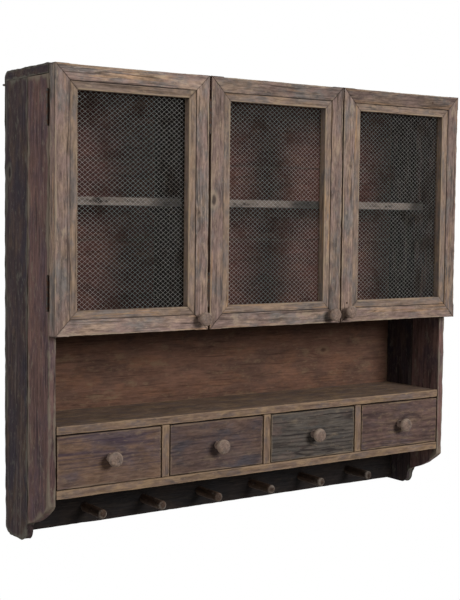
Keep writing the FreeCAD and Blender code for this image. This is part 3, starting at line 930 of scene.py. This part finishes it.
# frame sticks that are paler or darker than the rest: partly their own tone, partly painted shade, as the
# head rails and right stiles grow darker from the left door to the right one
stickToneAndShadeGains = {
    "left": {"head": 1.25, "foot": 1.2, "right": 1.08},
    "middle": {"head": 0.85, "left": 0.92, "right": 0.9},
    "right": {"head": 0.63, "left": 1.02, "right": 0.84},
}
doors = tuple(stickToneAndShadeGains)
for door, gains in stickToneAndShadeGains.items():
    body = "door_" + door
    for kind, (wide, look, age, seamed, only, slot) in doorLayers.items():
        node = body + "_" + kind
        inFrame = seamed == "inner"
        low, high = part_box(body + "_stiles" if inFrame else node)
        parts = mitredFrame(node, low, high, wide, look, age, seamed, only, gains if inFrame else {})
        placePiece(joined("worn_" + node, parts), body, node)
print("door sticks done")

# drawers: a front with raised grain on a plain box
drawerLooks = (
    plainFigure | {  # grey ripples
        "base": "#6c5649", "cool": "#5c4f50", "warm": "#755c4b", "streak": "#7c634c",
        "dark": "#443841", "worn": "#84705e", "soil": "#261e1a",
        "blotch": 0.7, "sway": 0.007, "ringPitch": 0.0055, "ringForce": 0.85, "gain": 0.92,
    },
    plainFigure | {  # dark and bluish
        "base": "#5f4d47", "cool": "#494549", "warm": "#695348", "streak": "#6d5b4d",
        "dark": "#352d33", "worn": "#7c6959", "soil": "#261e1a",
        "blotch": 0.6, "sway": 0.006, "ringPitch": 0.005, "ringForce": 0.75, "gain": 0.88,
    },
    plainFigure | {  # grey with wavy grain
        "base": "#57504a", "cool": "#4f4b48", "warm": "#63534d", "streak": "#6a6055",
        "dark": "#2b2524", "worn": "#7b6d5d", "soil": "#211b18",
        "sway": 0.03, "ringPitch": 0.0075, "ringForce": 1.0, "checkForce": 0.9, "gain": 0.93,
    },
    plainFigure | {  # swirled round knots
        "base": "#644f49", "cool": "#544849", "warm": "#6f5a4e", "streak": "#7f6a58",
        "dark": "#3c2f2e", "worn": "#84705a", "soil": "#261e1a",
        "sway": 0.05, "ringForce": 0.8, "streakForce": 0.6, "knotRarity": 0.6, "gain": 0.9,
    },
)
drawerAge = caseAge | {
    "round": 1.3 * mm, "pitches": (4.5 * mm, 1.7 * mm), "grainSize": 4 * mm, "relief": 1.5 * mm,
    "sway": 0.7 * mm, "nick": 1.6 * mm,
}
boxLook = plainFigure | {
    "base": "#7d664f", "cool": "#6d5a4a", "warm": "#87704f", "streak": "#8d7452",
    "dark": "#4a392c", "worn": "#937b5f", "soil": "#2b2119",
}
boxAge = caseAge | {
    "round": 0.8 * mm, "pitches": (12 * mm, 4 * mm), "relief": 0.4 * mm, "sway": 0.4 * mm, "nick": 1.0 * mm,
}
boxWall = 10 * mm
for number, look in enumerate(drawerLooks):
    body = "drawer_" + str(number + 1)
    low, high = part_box(body + "_front")
    piece = wornBoard("worn_" + body + "_front", low, high, xAxis, look, drawerAge, "drawer")
    placePiece(piece, body, body + "_front")
    low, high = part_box(body + "_box")
    leftX, rightX = low.x + boxWall, high.x - boxWall
    walls = {
        "left": (low, (leftX, high.y, high.z), yAxis),
        "right": ((rightX, low.y, low.z), high, yAxis),
        "rear": ((leftX, high.y - boxWall, low.z), (rightX, high.y, high.z), xAxis),
    }
    parts = [wornBoard(body + "_wall_" + wall, *ends, boxLook, boxAge) for wall, ends in walls.items()]
    placePiece(joined("worn_" + body + "_box", parts), body, body + "_box")
    low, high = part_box(body + "_bottom")
    piece = wornBoard("worn_" + body + "_bottom", low, high, xAxis, boxLook, boxAge)
    placePiece(piece, body, body + "_bottom")
print("drawers done")

# turned knobs and pegs: a disc drawn out ring by ring along -Y
knobLook = plainFigure | {
    "base": "#7a675d", "cool": "#695e59", "warm": "#857062", "streak": "#8c7765",
    "dark": "#443731", "worn": "#9f8d7e", "soil": "#2b2320",
    "blotch": 3.0, "sway": 0.003, "ringPitch": 0.005, "ringForce": 0.12, "knotRarity": 1.1,
}
pegLook = knobLook | {
    "base": "#4a3a31", "cool": "#40352f", "warm": "#544336", "streak": "#5a483a",
    "dark": "#2a211c", "worn": "#7d736a",
}
# rings as shares of the radius and of the reach
knobProfile = (
    (0.62, 0), (0.55, 0.06), (0.51, 0.14), (0.5, 0.22), (0.53, 0.32), (0.6, 0.41), (0.7, 0.46), (0.86, 0.5),
    (0.96, 0.57), (1.0, 0.66), (0.99, 0.74), (0.94, 0.82), (0.85, 0.88), (0.72, 0.925), (0.55, 0.957),
    (0.35, 0.983), (0.15, 0.996),
)
pegProfile = (
    (1.0, 0), (1.0, 0.15), (1.0, 0.3), (1.0, 0.45), (1.0, 0.6), (1.0, 0.75), (1.0, 0.86), (0.985, 0.925),
    (0.93, 0.945), (0.82, 0.962), (0.65, 0.978), (0.42, 0.99), (0.18, 0.998),
)
turnedSizes = {
    # radius, reach, and how far out the rubbed rim lies
    "doorKnob": (13.5 * mm, 25 * mm, 0.72), "drawerKnob": (14.5 * mm, 29 * mm, 0.72),
    "peg": (9.6 * mm, 78 * mm, 0.97),
    "sides": 40, "wobble": 0.5 * mm, "wobbleSize": 11 * mm, "rimReach": 0.8, "rimPoints": 24,
}


def drawnOut(radius, reach, sides, profile):
    # stands at the origin and points to -Y, and is left in edit mode with its last ring selected
    bpy.ops.object.select_all(action="DESELECT")
    bpy.ops.mesh.primitive_circle_add(
        vertices=sides, radius=radius * profile[0][0], fill_type="NGON", rotation=(math.pi / 2, 0, 0))
    piece = bpy.context.object
    applyPlace()
    edit(piece)
    selectMesh()
    for (share, out), (nextShare, nextOut) in zip(profile, profile[1:]):
        extrude((0, -(nextOut - out) * reach, 0))
        grow = nextShare / share
        bpy.ops.transform.resize(value=(grow, 1, grow), center_override=(0, -nextOut * reach, 0))
    return piece


def turnedBlank(size, profile):
    radius, reach, rimOut = size
    piece = drawnOut(radius, reach, turnedSizes["sides"], profile)
    extrude((0, -(1 - profile[-1][1]) * reach, 0))
    bpy.ops.mesh.merge(type="CENTER")
    faceOutwards()
    turns = [math.tau * t / turnedSizes["rimPoints"] for t in range(turnedSizes["rimPoints"])]
    rim = [Vector((radius * math.cos(t), -rimOut * reach, radius * math.sin(t))) for t in turns]
    markNear(piece, "wear", (rim, radius * turnedSizes["rimReach"]))
    return piece


def turnedCopy(blank, name, place, look):
    piece = copyOf(blank, name, place)
    reliefCount[0] += 1
    size = [turnedSizes["wobbleSize"]] * 3
    roughen(piece, size, turnedSizes["wobble"], reliefSet["turnedLevel"], reliefCount[0])
    bpy.ops.object.shade_smooth_by_angle(angle=reliefSet["turnedAngle"])
    piece.data.materials.append(agedWood(name, look, yAxis, place, "turned"))
    return piece


def knobPlace(node, reach):
    low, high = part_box(node)
    return ((low.x + high.x) / 2, low.y + reach, (low.z + high.z) / 2)


knobOwners = {
    "doorKnob": ["door_" + door for door in doors],
    "drawerKnob": ["drawer_" + str(number + 1) for number in range(len(drawerLooks))],
}
for kind, owners in knobOwners.items():
    blank = turnedBlank(turnedSizes[kind], knobProfile)
    for owner in owners:
        node = owner + "_knob"
        piece = turnedCopy(blank, "turned_" + node, knobPlace(node, turnedSizes[kind][1]), knobLook)
        placePiece(piece, owner, node)
    bpy.data.objects.remove(blank)

pegPitch = 137.6 * mm
# the first four pegs differ in tone, and the last two are darker as painted shade, for light falling off
# towards the right end
pegToneAndShadeGains = (0.9, 1.0, 1.05, 1.0, 0.8, 0.55)  # the last two are darker
pegMiddle = (len(pegToneAndShadeGains) - 1) / 2
low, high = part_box("pegs")
blank = turnedBlank(turnedSizes["peg"], pegProfile)
parts = []
for number, gain in enumerate(pegToneAndShadeGains):
    place = ((number - pegMiddle) * pegPitch, low.y + turnedSizes["peg"][1], (low.z + high.z) / 2)
    parts.append(turnedCopy(blank, "peg_" + str(number + 1), place, pegLook | {"gain": gain}))
bpy.data.objects.remove(blank)
placePiece(joined("turned_pegs", parts), "carcass", "pegs")
print("knobs and pegs done")


# metals: clean and rusted colours, noise of the rust (repeats per metre, shift, detail), where it starts and
# ends, roughness of both, and pits (strength, depth in metres, noise) where there are any
def agedMetal(name, look):
    material, tree = newMaterial(name)
    place = addNode(tree, "TexCoord", {}).outputs["Object"]
    perMetre, shift, detail = look["rust"]
    rust = ramp(tree, noise(tree, place, [perMetre] * 3, shift, detail), *look["rustShare"])
    surface = {
        "Base Color": mixTone(tree, rust, tone(look["clean"]), tone(look["rusted"])),
        "Roughness": ramp(tree, rust, 0, 1, *look["rough"]), "Metallic": look["metallic"],
    }
    if "pits" in look:
        strength, depth, perMetre, shift, detail = look["pits"]
        pits = noise(tree, place, [perMetre] * 3, shift, detail)
        bump = addNode(tree, "Bump", {"Strength": strength, "Distance": depth, "Height": pits})
        surface["Normal"] = bump.outputs[0]
    closeMaterial(tree, addNode(tree, "BsdfPrincipled", surface))
    return material


# woven wire: two wave wires of opposite phase, repeated both ways, trimmed to the opening
meshWeave = {"step": 7.16 * mm, "angle": 38, "wire": 0.18 * mm, "sides": 5, "cells": 36, "merge": 0.02 * mm}
wireLook = {
    "clean": "#b0ada8", "rusted": "#8b8179", "rust": (22, 4, 4), "rustShare": (0.5, 0.68),
    "rough": (0.42, 0.75), "metallic": 0.35,
}


def wireFamily(name, slope, lift):
    # one family of wires: lines along the slope, the next line half a wave on
    step, wire, count = meshWeave["step"], meshWeave["wire"], meshWeave["cells"]
    along = Vector((math.cos(slope), 0, math.sin(slope)))
    across = Vector((math.cos(slope), 0, -math.sin(slope)))
    wires = []
    for phase in (1, -1):
        start = across * (step if phase < 0 else 0) + Vector((0, lift * phase * wire, 0))
        bpy.ops.object.select_all(action="DESELECT")
        bpy.ops.mesh.primitive_circle_add(vertices=meshWeave["sides"], radius=wire, location=start)
        piece = bpy.context.object
        piece.rotation_mode = "QUATERNION"
        piece.rotation_quaternion = along.to_track_quat("Z", "Y")
        applyPlace()
        edit(piece)
        selectMesh()
        for bend in (-1, -1, 1, 1):
            extrude(along * (step / 2) + Vector((0, lift * phase * wire * bend, 0)))
        leaveEdit()
        wires.append(piece)
    piece = joined(name, wires)
    for direction in (along, across):
        bpy.ops.object.modifier_add(type="ARRAY")
        modifier = piece.modifiers[-1]
        modifier.use_relative_offset = False
        modifier.use_constant_offset = True
        modifier.constant_offset_displace = direction * step * 2
        modifier.count = count
        modifier.use_merge_vertices = direction == along
        modifier.merge_threshold = meshWeave["merge"]
        bpy.ops.object.modifier_apply(modifier=modifier.name)
    edit(piece)
    selectMesh()
    bpy.ops.transform.translate(value=-(along + across) * step * count)
    leaveEdit()
    return piece


def wovenMesh(name, wide, high):
    slope = math.radians(meshWeave["angle"])
    piece = joined(name, [wireFamily("rising", slope, 1), wireFamily("falling", -slope, -1)])
    edit(piece)
    for way in ((1, 0, 0), (-1, 0, 0), (0, 0, 1), (0, 0, -1)):
        edge = (way[0] * wide / 2, 0, way[2] * high / 2)
        selectMesh()
        bpy.ops.mesh.bisect(plane_co=edge, plane_no=way, clear_outer=True, use_fill=False)
    faceOutwards()
    bpy.ops.object.shade_smooth()
    return piece


low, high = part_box("door_left_mesh")
blank = wovenMesh("wovenBlank", high.x - low.x, high.z - low.z)
blank.data.materials.append(agedMetal("agedWire", wireLook))
for door in doors:
    node = "door_" + door + "_mesh"
    placePiece(copyOf(blank, "woven_" + node, centre(*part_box(node))), "door_" + door, node)
bpy.data.objects.remove(blank)
print("wire mesh done")

# hinges, screws and hanging eyes keep their solids, in rusted iron
ironLook = {
    "clean": "#2c2825", "rusted": "#54392a", "rust": (160, 7, 5), "rustShare": (0.42, 0.62),
    "rough": (0.5, 0.85), "metallic": 0.6, "pits": (0.4, 0.0003, 900, 2, 3),
}
iron = agedMetal("rustedIron", ironLook)
ironNodes = ["hanging_eyes", "case_hinge_leaves", "hinge_pins", "case_hinge_screws"]
for door in doors:
    ironNodes += ["door_" + door + "_hinge_leaves", "door_" + door + "_hinge_screws"]
for node in ironNodes:
    nodes[node].data.materials.clear()
    nodes[node].data.materials.append(iron)

# two old nails in the right door: a head drawn out ring by ring, driven in almost flush
nails = {
    "radius": 2.4 * mm, "sides": 14, "proud": 0.2 * mm,
    "places": {"head": (422 * mm, 7 * mm), "foot": (185 * mm, -427 * mm)},
    "profile": ((1.0, 0), (1.0, 0.9), (0.86, 1.2), (0.5, 1.4)),  # share of the radius, millimetres out
}
blank = drawnOut(nails["radius"], mm, nails["sides"], nails["profile"])
faceOutwards()
bpy.ops.object.shade_smooth_by_angle(angle=reliefSet["flatAngle"])
blank.data.materials.append(iron)
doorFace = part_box("door_right_stiles")[0].y
deep = nails["profile"][-1][1] * mm - nails["proud"]
for name, (x, z) in nails["places"].items():
    piece = copyOf(blank, "nail_door_right_" + name, (x, doorFace + deep, z))
    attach(piece, "door_right")
bpy.data.objects.remove(blank)
print("iron done")

bpy.data.objects.remove(guide)
